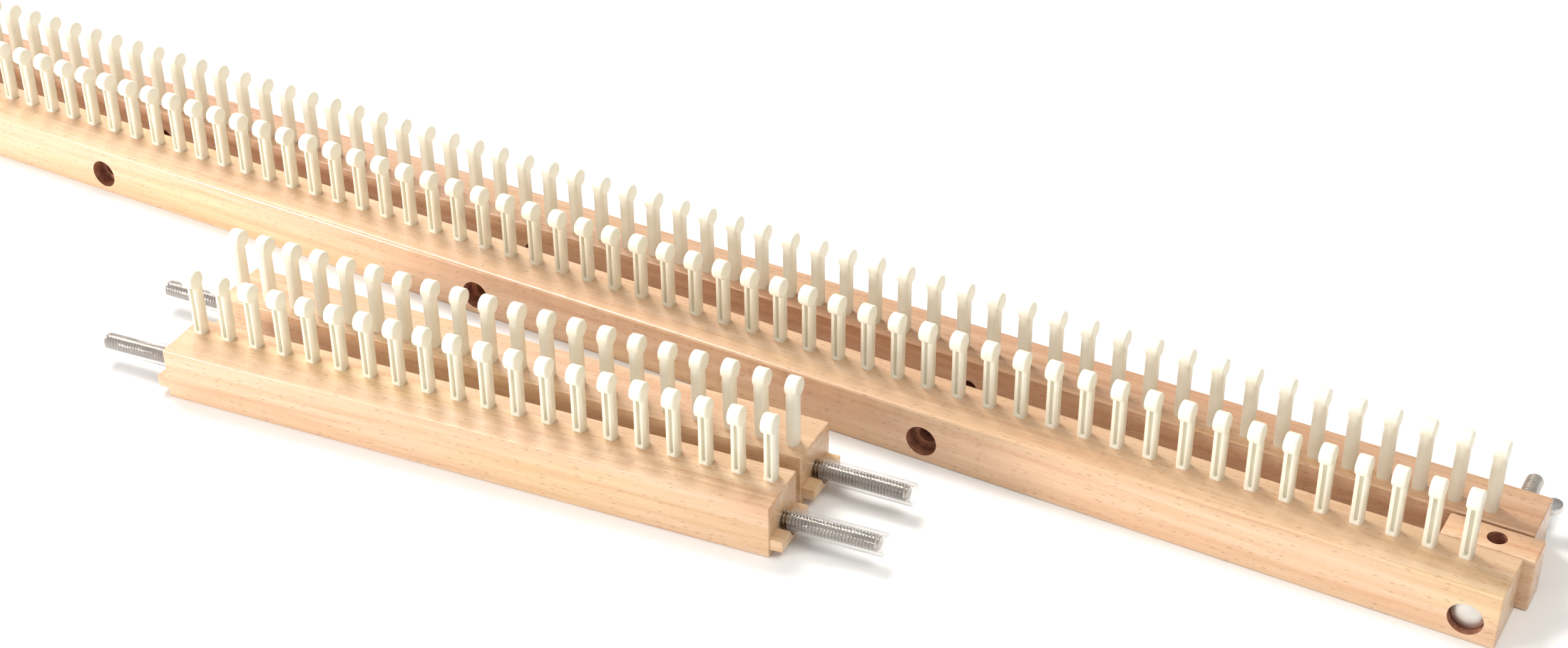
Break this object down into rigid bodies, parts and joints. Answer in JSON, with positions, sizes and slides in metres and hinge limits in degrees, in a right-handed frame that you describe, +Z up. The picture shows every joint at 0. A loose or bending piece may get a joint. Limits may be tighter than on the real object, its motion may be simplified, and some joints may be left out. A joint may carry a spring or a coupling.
{
  "type": "knitting loom",
  "caption": "Long double-board peg loom: two wooden boards with grooved pegs, clamped by bolts, wing nuts and spacer blocks, beside a loose pair of extension boards with sleeved threaded rods.",
  "frame": {"origin": "on the table, at the middle of the front board's underside", "axes": "+X runs along the loom to its right end, +Y from the front board to the rear board, +Z up"},
  "size_m": [0.8432, 0.1941, 0.0495],
  "materials": {
    "beech_boards": "satin",
    "beech_spacers": "satin",
    "ivory_pegs": "satin",
    "steel_bolts": "zinc plated",
    "steel_rods": "zinc plated",
    "clear_sleeves": "clear"
  },
  "bodies": {
    "front_frame": {"front_board": "beech_boards", "front_pegs": "ivory_pegs", "right_carriage_bolt": "steel_bolts", "left_carriage_bolt": "steel_bolts"},
    "rear_frame": {"rear_board": "beech_boards", "rear_pegs": "ivory_pegs"},
    "right_nut": {"right_wing_nut": "steel_bolts"},
    "left_nut": {"left_wing_nut": "steel_bolts"},
    "right_spacer": {"right_spacer_block": "beech_spacers"},
    "left_spacer": {"left_spacer_block": "beech_spacers"},
    "extension_front": {"extension_front_board": "beech_boards", "extension_front_pegs": "ivory_pegs", "extension_front_right_rod": "steel_rods", "extension_front_left_rod": "steel_rods"},
    "extension_front_right_cover": {"extension_front_right_sleeve": "clear_sleeves"},
    "extension_front_left_cover": {"extension_front_left_sleeve": "clear_sleeves"},
    "extension_rear": {"extension_rear_board": "beech_boards", "extension_rear_pegs": "ivory_pegs", "extension_rear_right_rod": "steel_rods", "extension_rear_left_rod": "steel_rods"},
    "extension_rear_right_cover": {"extension_rear_right_sleeve": "clear_sleeves"},
    "extension_rear_left_cover": {"extension_rear_left_sleeve": "clear_sleeves"}
  },
  "joints": [
    {"name": "rear_board_slide", "type": "slide", "parent": "front_frame", "child": "rear_frame", "axis": [0, 1, 0], "range_m": [-0.0009, 0.016]},
    {"name": "right_wing_nut_spin", "type": "hinge", "parent": "rear_frame", "child": "right_nut", "pos_m": [0.4064, 0.0515, 0.00885], "axis": [0, 1, 0], "range_deg": [-255.6, 4535.9]},
    {"name": "left_wing_nut_spin", "type": "hinge", "parent": "rear_frame", "child": "left_nut", "pos_m": [-0.4064, 0.0515, 0.00885], "axis": [0, 1, 0], "range_deg": [-255.6, 4535.9]},
    {"name": "right_spacer_turn", "type": "hinge", "parent": "front_frame", "child": "right_spacer", "pos_m": [0.4064, 0.0192, 0.00885], "axis": [0, 1, 0], "range_deg": [-90, 90]},
    {"name": "left_spacer_turn", "type": "hinge", "parent": "front_frame", "child": "left_spacer", "pos_m": [-0.4064, 0.0192, 0.00885], "axis": [0, 1, 0], "range_deg": [-90, 90]},
    {"name": "extension_front_lift", "type": "slide", "parent": "front_frame", "child": "extension_front", "axis": [0, 0, 1], "range_m": [0, 0.1]},
    {"name": "extension_front_right_sleeve_pull", "type": "slide", "parent": "extension_front", "child": "extension_front_right_cover", "axis": [0.9935, 0.1136, 0], "range_m": [0, 0.036]},
    {"name": "extension_front_left_sleeve_pull", "type": "slide", "parent": "extension_front", "child": "extension_front_left_cover", "axis": [-0.9935, -0.1136, 0], "range_m": [0, 0.036]},
    {"name": "extension_rear_lift", "type": "slide", "parent": "front_frame", "child": "extension_rear", "axis": [0, 0, 1], "range_m": [0, 0.1]},
    {"name": "extension_rear_right_sleeve_pull", "type": "slide", "parent": "extension_rear", "child": "extension_rear_right_cover", "axis": [0.9968, 0.0805, 0], "range_m": [0, 0.036]},
    {"name": "extension_rear_left_sleeve_pull", "type": "slide", "parent": "extension_rear", "child": "extension_rear_left_cover", "axis": [-0.9968, -0.0805, 0], "range_m": [0, 0.036]}
  ],
  "couplings": [
    {"joint": "right_wing_nut_spin", "follows": "rear_board_slide", "rad_per_m": 4947.4},
    {"joint": "left_wing_nut_spin", "follows": "rear_board_slide", "rad_per_m": 4947.4}
  ]
}
